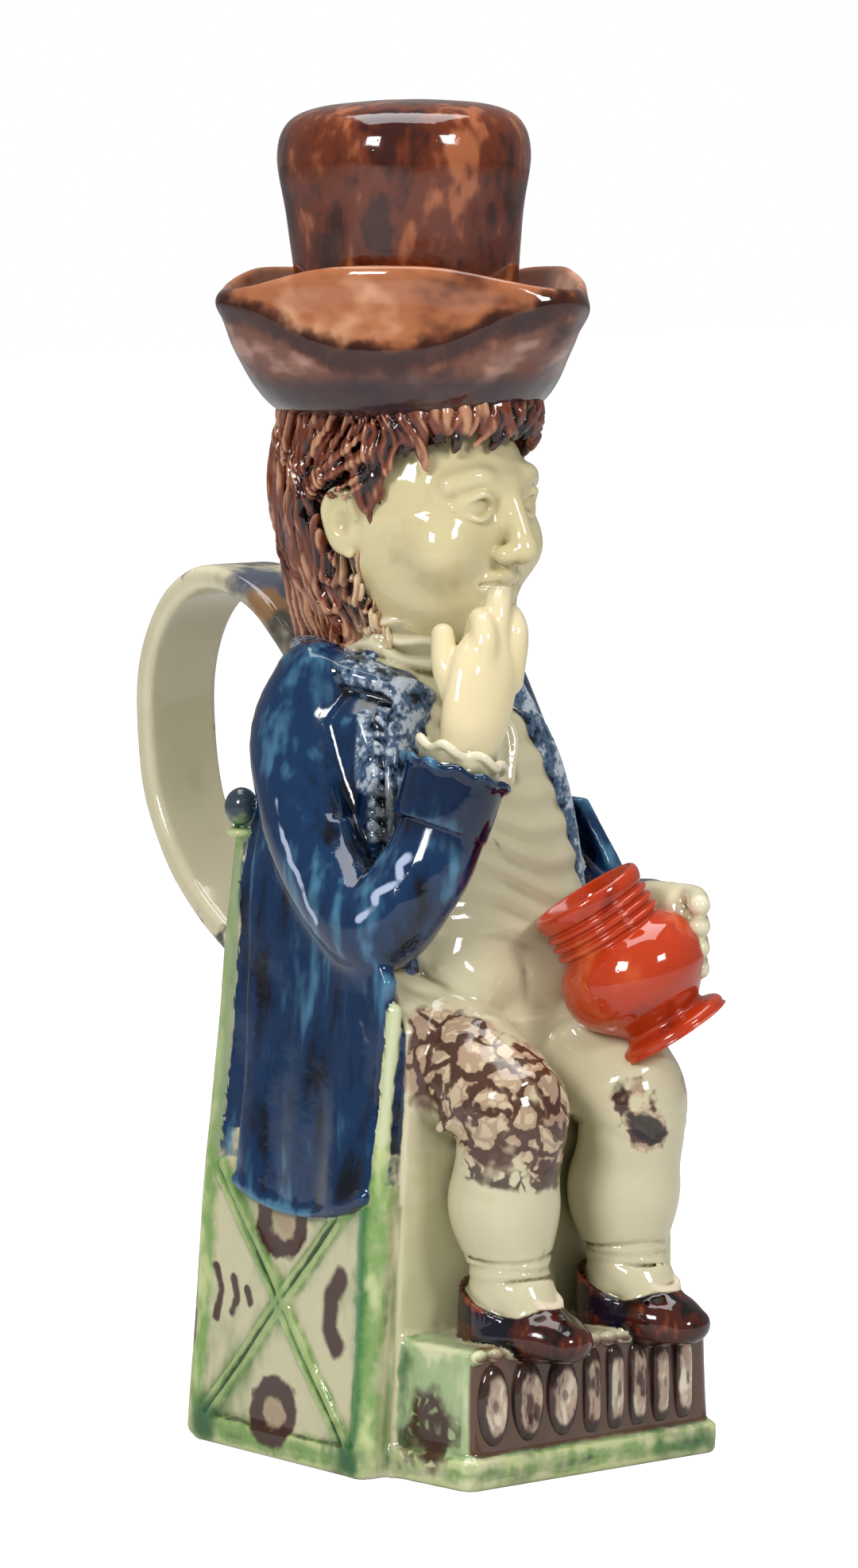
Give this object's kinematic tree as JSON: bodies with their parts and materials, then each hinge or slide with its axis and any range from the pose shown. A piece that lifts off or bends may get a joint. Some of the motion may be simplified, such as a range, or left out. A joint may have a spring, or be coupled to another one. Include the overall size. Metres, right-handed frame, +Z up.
{
  "type": "toby jug",
  "caption": "Hollow glazed earthenware jug in the form of a seated man in a cocked hat, with a strap handle behind and a lift-off hat crown as its cover.",
  "frame": {"origin": "middle of the whole object's footprint, on the surface that the jug stands on", "axes": "+Z up; the seated figure looks towards -Y and the handle is on the +Y side, so +X is at the figure's left hand"},
  "size_m": [0.0904, 0.1634, 0.294],
  "materials": {
    "coloured_glazes": "cream earthenware under glossy lead glazes: blue coat, brown hat, hair and shoes, green chair edges, orange-red mug",
    "brown_glaze": "glossy mottled manganese-brown lead glaze"
  },
  "bodies": {
    "root": {"jug": "coloured_glazes", "hat_crown_cover": "brown_glaze"}
  },
  "joints": []
}
